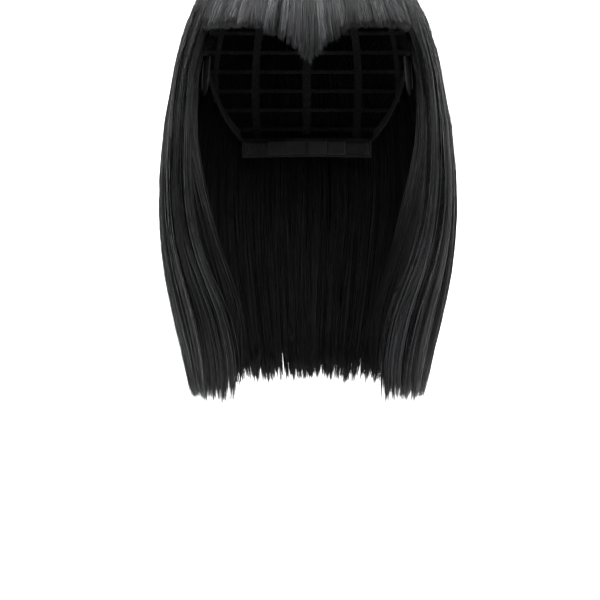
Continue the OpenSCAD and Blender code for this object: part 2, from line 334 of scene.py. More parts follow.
class Shape:
    """Outer and inner outlines of the hair at levels q, from 0 at the crown to 1 at the tips.
    The dome takes q up to DOME, by equal angles, and the hanging hair takes the rest, by equal heights."""
    DOME = 0.46
    LEVELS = 141
    WIDEST = -35 * MM  # height of the dome's widest level
    SEAM = (-14 * MM, 2 * MM)  # heights beside the hinge line where only one layer hangs
    CLOSED = 20 * MM  # an outline wider than this at the apex closes to a point
    LOOK_AT = (74, 61)  # degrees from dead ahead that the side hair is read at, above and below 0
    UNDER_FRINGE = 56.5  # azimuth in degrees of the side hair's edge over the dome
    HIT_STEP = 0.01 * MM  # past a hit, before the ray goes on
    EVEN_OUTLINE, EVEN_EDGE = 1.6, 3.5  # smoothing widths, in levels

    def __init__(self):
        names = [n for n in nodes if n.startswith("hair_")]
        self.trees = {n: self.tree(n) for n in names}
        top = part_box("hair_crown")[1].z
        self.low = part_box("hair_back_outer")[0].z
        sides = [n for n in names if "side_left" in n or n == "hair_crown"]
        backs = [n for n in names if "back" in n or n == "hair_crown"]
        fronts = ["hair_crown", "hair_fringe_centre"]
        self.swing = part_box("hair_back_outer")[1].z
        inner_top = self.trees["hair_crown"].ray_cast(Vector((0, 0, 0)), Vector((0, 0, 1)))[0].z
        self.q = np.linspace(0, 1, self.LEVELS)
        e = np.radians(90 * np.clip(1 - self.q / self.DOME, 0, 1))
        down = np.clip((self.q - self.DOME) / (1 - self.DOME), 0, 1)
        self.z_out = self.WIDEST + (top - self.WIDEST) * np.sin(e) + (self.low - self.WIDEST) * down
        self.z_in = self.z_out - (top - inner_top) * np.sin(e)
        self.outline = {}
        for skin, heights, far in (("out", self.z_out, True), ("in", self.z_in, False)):
            w = self.reach(sides, heights, (1, 0), far)
            back = self.reach(backs, heights, (0, 1), far)
            front = self.reach(fronts, heights, (0, -1), far)
            front = self.front_depth(heights, w, front, far)
            filled = [self.filled(v, heights) for v in (w, front, back)]
            self.outline[skin] = [smoothed(v, self.EVEN_OUTLINE) for v in filled]
        self.edge = self.front_edge()

    def tree(self, name):
        me = nodes[name].data
        return BVHTree.FromPolygons([v.co for v in me.vertices], [p.vertices for p in me.polygons])

    def hits(self, names, origin, direction):
        """Distances at which a ray meets the named nodes."""
        found = []
        for name in names:
            start = origin
            for _ in range(6):
                hit = self.trees[name].ray_cast(start, direction)[0]
                if hit is None:
                    break
                found.append((hit - origin).length)
                start = hit + direction * self.HIT_STEP
        return found

    def reach(self, names, heights, direction, far):
        """How far out the nodes lie at each height; nan where there is none."""
        out = []
        for z in heights:
            found = self.hits(names, Vector((0, 0, z)), Vector((*direction, 0)))
            out.append((max(found) if far else min(found)) if found else np.nan)
        return np.array(out)

    def front_depth(self, heights, w, front, far):
        """Depth of the front half of the outline, from the side hair where there is nothing dead ahead."""
        names = [n for n in self.trees if "side_left" in n]
        out = front.copy()
        for i, z in enumerate(heights):
            if z > self.swing - 3 * MM:
                continue
            angle = math.radians(self.LOOK_AT[0] if z > 0 else self.LOOK_AT[1])
            found = self.hits(names, Vector((0, 0, z)), ahead(angle))
            r = (max(found) if far else min(found)) if found else np.nan
            sine = r * math.sin(angle) / w[i]
            seen = found and sine < 0.999
            out[i] = r * math.cos(angle) / math.sqrt(1 - sine * sine) if seen else np.nan
        return out

    def filled(self, values, heights):
        """Levels with no reading, and those at the seams where only one layer hangs, are bridged."""
        seam = (heights > self.swing + self.SEAM[0]) & (heights < self.swing + self.SEAM[1])
        good = ~np.isnan(values) & ~seam
        out = np.interp(self.q, self.q[good], values[good])
        if out[0] > self.CLOSED:
            out[0] = 0.0
        return out

    def front_edge(self):
        """Azimuth in degrees of the side hair's front edge at each level; over the dome it runs under the
        fringe's outer end."""
        edges = []
        for z in self.z_out:
            if z > self.swing - 1 * MM:
                edges.append(self.UNDER_FRINGE)
                continue
            middle = Vector((0, 0, max(z, self.low + MM)))
            for degrees in np.arange(20, 80, 0.5):
                a = math.radians(degrees)
                found = self.hits(["hair_side_left_outer"], middle, ahead(a))
                if found:
                    break
            w = np.interp(z, self.z_out[::-1], self.outline["out"][0][::-1])
            edges.append(math.degrees(math.asin(min(1, max(found) * math.sin(a) / w))))
        return smoothed(np.minimum(edges, self.UNDER_FRINGE), self.EVEN_EDGE)

    def size(self, skin, q):
        """Half width, front depth, back depth and height of a skin at levels q."""
        w, front, back = (np.interp(q, self.q, v) for v in self.outline[skin])
        z = np.interp(q, self.q, self.z_out if skin == "out" else self.z_in)
        return w, front, back, z

    def point(self, a, q, t):
        """Points at azimuth a (radians), level q and depth t: 0 is the outer skin and 1 the inner."""
        w, front, back, z = (mix(o, i, t) for o, i in zip(self.size("out", q), self.size("in", q)))
        depth = np.where(np.cos(a) > 0, front, back)
        return np.stack([w * np.sin(a), -depth * np.cos(a), z], -1)

    def thickness(self, q):
        return self.size("out", q)[0] - self.size("in", q)[0] + 1e-6

    def level(self, z):
        return np.interp(-z, -self.z_out, self.q)


shape = Shape()
side_back_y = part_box("hair_side_left_outer")[1].y


def back_azimuth(q):
    """Azimuth of the plane between the side hair and the back hair."""
    depth = shape.size("out", q)[2]
    return np.pi / 2 + np.arcsin(np.clip(side_back_y / np.maximum(depth, side_back_y + MM), 0, 0.7))


class FringeEdge:
    """Height of the fringe's cut edge across the forehead, read from the CAD fringe."""
    REACH, STEPS = 80 * MM, 81  # half the width that is read
    INSIDE = 3 * MM  # how far under the outer skin the rays go up
    START = -100 * MM  # height that they start from
    LEVEL = 10 * MM  # height whose outline they follow

    def __init__(self):
        names = ["hair_fringe_centre", "hair_fringe_left", "hair_fringe_right"]
        low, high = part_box("hair_fringe_centre")
        self.x = np.linspace(-self.REACH, self.REACH, self.STEPS)
        self.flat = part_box("hair_fringe_left")[0].z
        self.z = np.full(len(self.x), self.flat)
        for i, x in enumerate(self.x):
            if not low.x < x < high.x:
                continue
            w, front, _, _ = shape.size("out", shape.level(self.LEVEL))
            y = -(front - self.INSIDE) * math.sqrt(1 - (x / w) ** 2)
            found = shape.hits(names, Vector((x, y, self.START)), Vector((0, 0, 1)))
            if found:
                self.z[i] = min(found) + self.START

    def __call__(self, x):
        return np.interp(x, self.x, self.z)


fringe_edge = FringeEdge()


# ------------ strands

def wander(rng, count, s, size):
    """Smooth drift along s for each of count strands or bunches, as (count, rings)."""
    out = np.zeros((count, s.shape[-1]))
    for k in (1, 2, 3):
        amount = rng.normal(0, 1 / k, (count, 1))
        phase = rng.uniform(0, 2 * np.pi, (count, 1))
        out += amount * (np.sin(np.pi * k * s + phase) - np.sin(phase))
    return out * size


def bunches(rng, u, count):
    """Splits 0..1 into uneven bunches: each strand's bunch, its place in it (-1..1) and its middle."""
    evenness, least = 1.6, 0.25
    widths = np.cumsum(rng.gamma(evenness, 1.0, count) + least)
    edges = np.concatenate([[0], widths / widths[-1]])
    index = np.clip(np.searchsorted(edges, u, side="right") - 1, 0, count - 1)
    middle = (edges[index] + edges[index + 1]) / 2
    half = (edges[index + 1] - edges[index]) / 2
    return index, (u - middle) / half, middle


WEFT = {
    "rings": 16,  # points along a strand
    "roots": (0.006, 0.2),  # levels where strands start
    "depth": (0.0, 0.2),  # where they settle, from the outer skin (0) to the inner (1)
    "width": 0.45 * MM,  # of a strand
    "mat": hair["top"],
    "locks": 9,
    "wisps": 60,
    "gather": 0.55,  # how far a wisp's strands close towards its middle
    "proud": 1.0,  # how unevenly wisps and locks sink below the outer skin
    "loose": 1.0,  # how much strands drift
    "strays": 0.08,  # share of strands that stand apart
    "taper": 20 * MM,  # length of the tapered end
    "flare": 0.0,  # how far the tips stand out
    "fray": 0.0,  # drift of the wisps next to the front edge
    "tuck": 0.0,  # how much deeper the fringe's outer ends lie
    "lift": 0.45 * MM,  # waves out of and into the hair
}

SWELL = 0.9 * MM  # how far the hair is let out over the CAD's outer skin
HANG_FROM, HANG_OVER = 0.35, 0.5  # levels over which wisps start to gather
SETTLE = 0.25  # level from which strands lie at their full depth
TIP_WIDTH = 0.16  # share of a strand's width that is left at its tip
FLATTEN = 0.8  # thickness of a strand by its width
STRAND_DRIFT, WISP_DRIFT, LOCK_DRIFT, FRAY_DRIFT = 0.45 * MM, 0.9 * MM, 1.1 * MM, 1.6 * MM
SET_BACK_FACE = math.radians(4)  # the lit side rows behind the dark ones, whose fibre is painted shade, beside the face
SET_BACK_LOW = math.radians(7)  # and lower down
BELOW_FRINGE = (20 * MM, -12 * MM)  # heights over which that set-back starts
BELOW_EAR = (-40 * MM, -125 * MM)  # heights over which the front edge turns to its lower form
HEM_JOIN = (-125 * MM, -234 * MM)  # heights over which the edges of the lit rows and of the painted-shade rows meet again
FRINGE_TUCK = math.radians(55)  # azimuth from which the fringe goes under the side hair
FRINGE_END = math.radians(68)  # azimuth of the fringe's outer end


def own_depths(rng, w, count, wisp, lock, place):
    """Strands' own depths, how far they stray, and how far their wisps and locks lie below the skin."""
    depth = rng.uniform(0, 1, (count, 1)) ** 1.5 * (w["depth"][1] - w["depth"][0]) + w["depth"][0]
    stray = (rng.uniform(0, 1, (count, 1)) < w["strays"]) * rng.uniform(0.4, 1.0, (count, 1))
    by_wisp = rng.uniform(0, 1.5, w["wisps"])[wisp]
    by_lock = rng.uniform(0, 0.9, w["locks"])[lock]
    rounded = 0.7 * place ** 2
    return depth, stray, (by_wisp + by_lock + rounded)[:, None] * MM * w["proud"]


def gathered(rng, w, u, s, q, span, wisp, middle):
    """Azimuths of strands between the two sides of their weft, closing to the middle of their wisps."""
    low, high = span(q)
    hang = smooth((q - HANG_FROM) / HANG_OVER)
    at_end = smooth((s - 0.82) / 0.18)
    own = rng.uniform(0.2, 1.1, (w["wisps"], 1))[wisp]
    closing = own * w["gather"] * (0.55 * hang + 0.9 * at_end)
    return mix(low, high, mix(u[:, None], middle[:, None], np.clip(closing, 0, 0.92)))


def drifting(rng, w, u, s, wisp, lock, stray):
    """Sideways drift of strands, in metres: by lock, by wisp, by strand, and at the weft's frayed edge."""
    drift = wander(rng, w["locks"], s, LOCK_DRIFT)[lock] + wander(rng, w["wisps"], s, WISP_DRIFT)[wisp]
    drift = drift + wander(rng, len(u), s, STRAND_DRIFT) * (1 + 4 * stray)
    fray = wander(rng, w["wisps"], s, FRAY_DRIFT)[wisp] * np.exp(-u / 0.07)[:, None] * w["fray"]
    return drift * w["loose"] + fray


def settled_depths(rng, w, s, q, root, azimuth, wisp, depth, stray, proud):
    """Depths of strands, from 0 at the outer skin to 1 at the inner. Their roots start buried."""
    thick = np.maximum(shape.thickness(q), 3 * MM)
    lift = wander(rng, w["wisps"], s, w["lift"])[wisp] + wander(rng, len(s * q), s, 0.2 * MM)
    flared = smooth((s - 0.7) / 0.3) * smooth((FRINGE_END - np.abs(azimuth)) / 0.5)
    swell = SWELL + w["flare"] * flared
    tucked = w["tuck"] * smooth((np.abs(azimuth) - FRINGE_TUCK) / math.radians(4))
    own = proud + lift * w["loose"] - stray * 1.2 * MM - swell
    settled = depth + tucked + own * smooth(q / SETTLE) / thick
    buried = np.minimum(0.25 + 4 * root, 0.95)
    return mix(np.maximum(buried, settled), settled, smooth((q - root) / 0.07))


def strands(name, rng, count, span, tips, body, bend=None, **changes):
    """One weft of hair. span(q) gives the azimuths of its two sides at levels q, tips gives the level where
    each strand ends, and changes are from WEFT. Strands keep together in wisps, which drift and lie deeper
    or shallower, and wisps keep together in locks."""
    w = {**WEFT, **changes}
    u = (np.arange(count) + rng.uniform(0, 1, count)) / count
    lock, _, _ = bunches(rng, u, w["locks"])
    wisp, place, middle = bunches(rng, u, w["wisps"])
    root = mix(*w["roots"], rng.uniform(0, 1, count))[:, None]
    s = 1 - (1 - np.linspace(0, 1, w["rings"])[None, :]) ** 1.3
    depth, stray, proud = own_depths(rng, w, count, wisp, lock, place)
    tip = tips(u, wisp, place, depth[:, 0], proud[:, 0], rng)[:, None]
    q = root + (tip - root) * s
    azimuth = gathered(rng, w, u, s, q, span, wisp, middle)
    girth = np.maximum(shape.size("out", q)[0], 12 * MM)
    free = smooth((q - root) / 0.3)
    azimuth = azimuth + drifting(rng, w, u, s, wisp, lock, stray) * free / girth
    t = settled_depths(rng, w, s, q, root, azimuth, wisp, depth, stray, proud)
    points = shape.point(azimuth, q, t)
    around = shape.point(azimuth + 0.02, q, t) - points
    left = lengths(points - points[:, -1:])
    taper = mix(TIP_WIDTH, 1.0, smooth(left / w["taper"])) * smooth(s / 0.03 + 0.5)
    across = w["width"] / 2 * rng.uniform(0.75, 1.25, (count, 1)) * taper
    block = rng.integers(0, COLUMNS // SHADES, w["wisps"])[wisp]
    column = block * SHADES + rng.integers(0, SHADES, count)
    made = Build()
    made.skins(tubes(points, around, across, across * FLATTEN), COLUMNS, column)
    ob = made.finish(name, [w["mat"]], "hair_fibre")
    if body == "cap":
        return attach(ob, "cap")
    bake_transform(ob)
    return ob


OWN_SPREAD = 4.2 * MM  # difference in length between strands of a wisp
FEW_SHORTER = 25 * MM  # how much shorter the shortest few strands are
WISP_POINT = 5 * MM  # how much shorter a wisp's outer strands are


def curtain_tips(spread, short=0.0):
    """Ends of hanging strands: wisps of different lengths that close to points, so the hem is feathered."""
    def ends(u, wisp, place, depth, proud, rng):
        by_wisp = np.abs(rng.normal(0, spread, wisp.max() + 1))[wisp]
        own = np.abs(rng.normal(0, OWN_SPREAD, len(u)))
        own = own + rng.uniform(0, 1, len(u)) ** 8 * FEW_SHORTER
        return shape.level(shape.low + short + by_wisp + own + place ** 2 * WISP_POINT)
    return ends


def side_span(sign, depth, lit):
    """Azimuths of the side hair's front and back edges, for a row at a depth. Beside the face the dark rows,
    whose darker fibre is painted shade, end in one plane, a little ahead of the lit ones. Lower down each row
    follows the CAD's edge, with the lit ones set back further, until all meet at the hem."""
    def span(q):
        width, _, _, height = shape.size("out", q)
        own = np.maximum(mix(width, shape.size("in", q)[0], depth), MM)
        edge = np.radians(np.interp(q, shape.q, shape.edge))
        level_edge = np.arcsin(np.clip(np.sin(edge) * width / own, 0, 0.95))
        beside = smooth((height - BELOW_EAR[1]) / (BELOW_EAR[0] - BELOW_EAR[1]))
        front = mix(edge, level_edge, beside)
        if lit:
            below_fringe = smooth((BELOW_FRINGE[0] - height) / (BELOW_FRINGE[0] - BELOW_FRINGE[1]))
            hanging = smooth((height - HEM_JOIN[1]) / (HEM_JOIN[0] - HEM_JOIN[1]))
            front = front + mix(SET_BACK_LOW, SET_BACK_FACE * below_fringe, beside) * hanging
        return sign * front, sign * back_azimuth(q)
    return span


def back_span(part, parts):
    """Azimuths of one part of the back hair, which laps a little over the parts next to it."""
    lap = 0.04

    def span(q):
        edge = back_azimuth(q)
        turn = 2 * np.pi - 2 * edge
        return edge + turn * (part - lap) / parts, edge + turn * (part + 1 + lap) / parts
    return span


def joint_place(name):
    """Where a joint of the frame lies."""
    return next(j for j in frame["joints"] if j["name"] == name)["pos_m"]


def swing_bend(joint, above=20 * MM, below=20 * MM):
    """Points above and below a hinge line."""
    place = Vector(joint_place(joint))
    return place + Vector((0, 0, above)), place - Vector((0, 0, below))


SIDE_STRANDS = 1900
SIDE_ROWS = {
    "top": (curtain_tips(3.5 * MM, -2.5 * MM), {"rings": 18}),
    "upper": (curtain_tips(4 * MM), {"roots": (0.12, 0.28), "depth": (0.12, 0.36), "width": 0.5 * MM}),
    "middle": (curtain_tips(6 * MM, 9 * MM), {
        "roots": (0.26, 0.36), "depth": (0.36, 0.68), "width": 0.6 * MM, "wisps": 44, "rings": 14,
        "mat": hair["under"]}),
    "inner": (curtain_tips(8 * MM, 12 * MM), {
        "roots": (0.33, 0.40), "depth": (0.66, 0.95), "width": 0.7 * MM, "wisps": 40, "rings": 12,
        "mat": hair["under"]}),
}
BACK_ROWS = {  # parts side by side, strands in each, tips and changes
    "top": (3, 1750, curtain_tips(3.5 * MM), {"rings": 18, "width": 0.48 * MM, "gather": 0.4}),
    "middle": (2, 2100, curtain_tips(5 * MM, 5 * MM), {
        "roots": (0.16, 0.34), "depth": (0.18, 0.6), "width": 0.65 * MM, "gather": 0.3, "rings": 14,
        "mat": hair["under"]}),
    "under": (2, 2100, curtain_tips(8 * MM, 9 * MM), {
        "roots": (0.32, 0.46), "depth": (0.6, 0.95), "width": 0.8 * MM, "rings": 12,
        "mat": hair["under"]}),
}


def side_hair(side, sign, seed):
    """The rows of one side curtain, from the outside in."""
    rng = np.random.default_rng(SEED + seed)
    bend = swing_bend(f"side_{side}_swing")
    for row, (tips, changes) in SIDE_ROWS.items():
        depth = sum(changes.get("depth", WEFT["depth"])) / 2
        span = side_span(sign, depth, row in ("top", "upper"))
        strands(f"hair_side_{side}_{row}", rng, SIDE_STRANDS, span, tips, f"side_{side}", bend,
                            fray=1.0, **changes)
    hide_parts(f"hair_side_{side}_outer")
    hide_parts(f"hair_side_{side}_under")


def back_hair():
    """The rows of the back curtain, from the outside in, each in parts side by side."""
    rng = np.random.default_rng(SEED + 3)
    bend = swing_bend("back_swing")
    for row, (parts, count, tips, changes) in BACK_ROWS.items():
        for part in range(parts):
            strands(f"hair_back_{row}_{part + 1}", rng, count, back_span(part, parts), tips,
                                "back", bend, **changes)
    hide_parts("hair_back_outer")
    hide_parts("hair_back_under")


FRINGE_JOIN = 27  # degrees from dead ahead of the seams between the fringe's sections
FRINGE_LAP = 0.5  # degrees that a section goes past its seam
FRINGE = {"proud": 0.9, "loose": 0.9, "gather": 0.8, "taper": 3 * MM, "flare": 2.2 * MM, "lift": 0.9 * MM,
          "tuck": 0.35}
FRINGE_ROWS = {
    "top": (1, {"rings": 13, "roots": (0.006, 0.16), "depth": (0.0, 0.3), "width": 0.42 * MM,
                "mat": hair["fringe"], "wisps": 84, "locks": 9, **FRINGE}),
    "under": (2, {"rings": 11, "roots": (0.15, 0.24), "depth": (0.3, 0.8), "width": 0.5 * MM,
                  "mat": hair["under"], "wisps": 40, "locks": 8, **FRINGE}),
}


def fringe_hair(section, low, high, seed, count):
    """One section of the fringe, between two azimuths."""
    rng = np.random.default_rng(SEED + seed)
    joint = "fringe_lift" if section == "centre" else f"fringe_{section}_lift"
    bend = swing_bend(joint, 14 * MM, 10 * MM)

    def span(q):
        return np.full_like(q, math.radians(low)), np.full_like(q, math.radians(high))

    def tips(u, wisp, place, depth, proud, rng):
        """Tips on the cut edge, in wisps of slightly different lengths; deeper strands stop short."""
        azimuth = np.radians(mix(low, high, u))
        z = np.full(len(u), fringe_edge.flat)
        for _ in range(4):
            z = fringe_edge(shape.size("out", shape.level(z))[0] * np.sin(azimuth))
        point = smooth((fringe_edge.flat - z) / (3.5 * MM))
        ragged = np.abs(rng.normal(0, 1.0 * MM, wisp.max() + 1))[wisp]
        ragged = ragged + np.abs(rng.normal(0, 1.0 * MM, len(u))) * (1 + 1.6 * point)
        z = z + ragged + place ** 2 * 1.4 * MM * (1 + point) + rng.uniform(0, 1, len(u)) ** 10 * 8 * MM
        z = z - (1.2 + 2.6 * point) * MM + smooth((depth - 0.28) / 0.04) * 3.2 * MM
        q = shape.level(z)
        t = depth + proud / shape.thickness(q)
        return shape.level(z + t * (shape.size("out", q)[3] - shape.size("in", q)[3]))

    for row, (thinned, changes) in FRINGE_ROWS.items():
        piece = strands(f"hair_fringe_{section}_{row}", rng, count // thinned, span, tips,
                        f"fringe_{section}", bend, **changes)
        if row == "top":
            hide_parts(f"hair_fringe_{section}")


def crown_hair():
    """Short fill hair on the fixed part of the cap, under the long strands."""
    def span(q):
        return np.zeros_like(q), np.full_like(q, 2 * np.pi)

    def tips(u, wisp, place, depth, proud, rng):
        return rng.uniform(0.20, 0.30, len(u))

    rng = np.random.default_rng(SEED + 9)
    piece = strands("hair_crown_fill", rng, 2600, span, tips, "cap", rings=9, roots=(0.01, 0.12),
                    depth=(0.2, 0.6), width=0.75 * MM, mat=hair["under"], locks=40, wisps=160)
    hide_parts("hair_crown")


side_hair("left", 1, 1)
side_hair("right", -1, 2)
back_hair()
fringe_end = math.degrees(FRINGE_END)
fringe_hair("centre", -FRINGE_JOIN - FRINGE_LAP, FRINGE_JOIN + FRINGE_LAP, 4, 2600)
fringe_hair("left", FRINGE_JOIN - FRINGE_LAP, fringe_end, 5, 2200)
fringe_hair("right", -fringe_end, -FRINGE_JOIN + FRINGE_LAP, 6, 2200)
crown_hair()


# ------------ the cap, measured on the CAD nodes

def solids(name):
    """The separate solids of a CAD node, each as welded points and triangles."""
    me = nodes[name].data
    me.calc_loop_triangles()
    raw = np.array([v.co for v in me.vertices])
    points, index = np.unique(np.round(raw, 6), axis=0, return_inverse=True)
    tris = index.ravel()[np.array([t.vertices for t in me.loop_triangles])]
    label = np.arange(len(points))
    while True:
        lower = label.copy()
        np.minimum.at(lower, tris.ravel(), np.repeat(label[tris].min(axis=1), 3))
        if (lower == label).all():
            break
        label = lower
    return [(points, tris[label[tris[:, 0]] == k]) for k in np.unique(label[tris])]


def cut(points, tris, normal, offset):
    """The points where the edges of triangles cross a plane."""
    height = points @ normal - offset
    found = []
    for i, j in ((0, 1), (1, 2), (2, 0)):
        a, b = tris[:, i], tris[:, j]
        cross = (height[a] > 0) != (height[b] > 0)
        t = (height[a] / np.where(cross, height[a] - height[b], 1))[cross][:, None]
        found.append(mix(points[a[cross]], points[b[cross]], t))
    return np.concatenate(found)


class Strip:
    """A thin curved strip of the cap: a grid of middle points, outward normals and half thicknesses.
    It runs round an upright axis through centre, or up it when upright is true."""
    ROWS, COLS = 56, 7
    FAR = 300 * MM  # where rays towards the axis start
    END_INSET = 0.001  # share of the length left out at each end of the grid
    EDGE_INSET = 0.004  # share of the width left out at each edge

    def __init__(self, solid, centre=(0.0, 0.0), upright=False):
        points, tris = solid
        self.centre = np.array([*centre, 0.0])
        used = points[np.unique(tris)] - self.centre
        behind = used[:, 1].mean() > 0
        self.tree = BVHTree.FromPolygons(points.tolist(), tris.tolist())
        azimuth = self.azimuth(used, behind)
        along = used[:, 2] if upright else azimuth
        inset = self.END_INSET * np.ptp(along)
        outer, inner = [], []
        for row in np.linspace(along.min() + inset, along.max() - inset, self.ROWS):
            if upright:
                edge = self.azimuth(cut(points, tris, np.array([0, 0, 1.0]), row) - self.centre, behind)
            else:
                normal = np.array([math.cos(row), math.sin(row), 0.0])
                there = cut(points, tris, normal, float(self.centre @ normal)) - self.centre
                this_side = there @ np.array([math.sin(row), -math.cos(row), 0.0]) > 0
                edge = there[this_side, 2]
            inset = self.EDGE_INSET * np.ptp(edge)
            for col in np.linspace(edge.min() + inset, edge.max() - inset, self.COLS):
                near, far = self.skins(*((col, row) if upright else (row, col)))
                inner.append(near)
                outer.append(far)
        outer, inner = (np.array(p).reshape(self.ROWS, self.COLS, 3) for p in (outer, inner))
        self.middle = (outer + inner) / 2
        self.normal = unit(np.cross(np.gradient(self.middle, axis=0), np.gradient(self.middle, axis=1)))
        outward = ((outer - inner) * self.normal).sum(-1, keepdims=True)
        self.half = np.abs(outward[..., 0]) / 2
        self.normal = self.normal * np.sign(outward)
        midline = self.middle[:, self.COLS // 2]
        self.length = lengths(np.diff(midline, axis=0)).sum()
        self.width = np.median(lengths(np.diff(self.middle, axis=1)).sum(-1))

    @staticmethod
    def azimuth(points, behind):
        """Azimuths from dead ahead; for points behind the head they run from 0 to a full turn."""
        a = np.arctan2(points[:, 0], -points[:, 1])
        return np.mod(a, 2 * np.pi) if behind else a

    def skins(self, azimuth, z):
        """Points on the inner and outer skin, straight out from the axis."""
        out = np.array([math.sin(azimuth), -math.cos(azimuth), 0.0])
        axis = self.centre + np.array([0, 0, z])
        near = self.tree.ray_cast(Vector(axis), Vector(out))[0]
        far = self.tree.ray_cast(Vector(axis + out * self.FAR), Vector(-out))[0]
        if near is None or far is None:
            near = far = self.tree.find_nearest(Vector(axis + out * self.reach))[0]
        self.reach = (near - Vector(axis)).length
        return np.array(near), np.array(far)

    def at(self, u, v):
        """Middle points, normals and half thicknesses at shares u of the length and v of the width."""
        i, j = np.clip(u, 0, 1) * (self.ROWS - 1), np.clip(v, 0, 1) * (self.COLS - 1)
        i0, j0 = np.minimum(i.astype(int), self.ROWS - 2), np.minimum(j.astype(int), self.COLS - 2)
        a, b = (i - i0)[..., None], (j - j0)[..., None]
        found = []
        for grid in (self.middle, self.normal, self.half[..., None]):
            here = mix(grid[i0, j0], grid[i0, j0 + 1], b)
            after = mix(grid[i0 + 1, j0], grid[i0 + 1, j0 + 1], b)
            found.append(mix(here, after, a))
        return found[0], unit(found[1]), found[2]


def cloth(made, strip, relief, window):
    """The strip as one closed skin with rounded edges. relief(along, across, v) is the share by which it is
    raised."""
    face_length, face_width, end_round = 0.9 * MM, 0.35 * MM, 0.6 * MM
    nu = max(12, int(strip.length / face_length))
    nv = max(8, int(strip.width / face_width))
    across = (1 - np.cos(np.linspace(0, np.pi, nv))) / 2
    u, v = np.meshgrid(np.linspace(0, 1, nu), across, indexing="ij")
    middle, normal, half = strip.at(u, v)
    edge = (1 - np.abs(2 * v - 1) ** 10) ** 0.5
    ends = np.clip(np.minimum(u, 1 - u) * strip.length / end_round, 0, 1) ** 0.5
    rise = (1 + relief(u * strip.length, v * strip.width, v)) * np.maximum(edge * ends, 0.06)
    top = middle + normal * half * rise[..., None]
    bottom = middle - normal * half * rise[..., None]
    made.skins(np.concatenate([top, bottom[:, ::-1]], axis=1)[None], window=window)


THREAD_WINDOW = (0.85, 0.97)  # the part of the texture that threads and pile lie in
THREAD_COLUMNS = 32


def threads(made, points, side, radius, sides, number):
    """Short lengths of thread, each in a column of the texture."""
    column = np.arange(len(points)) % THREAD_COLUMNS
    made.skins(tubes(points, side, radius, radius, sides), THREAD_COLUMNS, column, THREAD_WINDOW, number)


def stitches(made, strip, v0, v1, pitch, face):
    """A row of thread stitches on one face of a strip, each from v0 to v1: a zigzag, or a straight row."""
    radius = 0.14 * MM
    share = 0.72 if v0 == v1 else 0.95  # of the pitch that a stitch covers
    low, high = 0.01, 0.99
    n = max(2, int(strip.length * (high - low) / pitch))
    s = np.linspace(0, 1, 6)[None, :]
    start = mix(low, high, (np.arange(n) + 0.5) / n)[:, None]
    zigzag = (np.arange(n) % 2)[:, None] if v0 != v1 else np.zeros((n, 1))
    u = start + (s - 0.5) * share * pitch / strip.length
    v = mix(v0, v1, np.abs(s - zigzag))
    middle, normal, half = strip.at(u, v)
    arch = np.sin(np.pi * s)
    rise = 0.55 + 0.75 * arch[..., None]
    points = middle + face * normal * (half * rise + radius * 0.6)
    thread = radius * (0.55 + 0.45 * arch) * np.ones((n, 1))
    threads(made, points, np.cross(normal, np.gradient(points, axis=1)), thread, 5, 1)


def elastic_relief(along, across, v):
    """Cords along the tape, woven over in turn."""
    cord = 1.0 * MM
    cords = np.abs(np.sin(np.pi * across / cord))
    weave = np.sin(2 * np.pi * along / (1.8 * MM) + np.pi * np.floor(across / cord))
    return 0.3 * cords + 0.12 * weave - 0.2


def band_relief(along, across, v):
    """Hems at both edges, puckered by their stitches."""
    hem = smooth((np.abs(v - 0.5) - 0.26) / 0.06)
    pucker = np.sin(2 * np.pi * along / (3.1 * MM)) * smooth((0.12 - np.abs(np.abs(v - 0.5) - 0.33)) / 0.1)
    return 0.35 * hem - 0.12 * pucker - 0.15


def track_relief(along, across, v):
    """A fold along the weft's edge, and the bulges of bound hair."""
    fold = -0.35 * np.exp(-((v - 0.62) / 0.07) ** 2)
    return fold + 0.16 * np.sin(2 * np.pi * along / (1.9 * MM)) * np.sin(np.pi * v)


def checks(along, across, pitch):
    """Waves both ways, from -1 to 1."""
    return np.sin(2 * np.pi * along / pitch) * np.sin(2 * np.pi * across / pitch)


def plain_relief(along, across, v):
    """A faint weave."""
    return 0.05 * checks(along, across, 1.8 * MM)


def knob_relief(along, across, v):
    """Rows of low knobs."""
    return 0.28 * np.maximum(checks(along, across, 1.6 * MM), 0)


CAP_KINDS = {  # relief, cloth, slot, and rows of stitches as (from v, to v, pitch)
    "elastic": (elastic_relief, "ribbed_elastic", "elastic_black", [(0.22, 0.78, 2.6 * MM)]),
    "band": (band_relief, "soft_band", "elastic_black", [(0.17, 0.17, 3.1 * MM), (0.83, 0.83, 3.1 * MM)]),
    "track": (track_relief, "weft_track", "weft_track", [(0.12, 0.88, 1.9 * MM), (0.62, 0.62, 2.2 * MM)]),
    "anchor": (band_relief, "ribbed_elastic", "elastic_black",
               [(0.15, 0.85, 2.4 * MM), (0.2, 0.2, 1.8 * MM), (0.8, 0.8, 1.8 * MM)]),
    "loops": (plain_relief, "loop_pile", "loop_strip", [(0.08, 0.08, 2.0 * MM), (0.92, 0.92, 2.0 * MM)]),
    "hooks": (knob_relief, "hook_plastic", "hook_tab", [(0.1, 0.1, 2.2 * MM), (0.9, 0.9, 2.2 * MM)]),
    "stay": (plain_relief, "hook_plastic", "stay_plastic", []),
}
CLOTH_SHARE = 0.78  # of the texture's length, divided between a node's solids


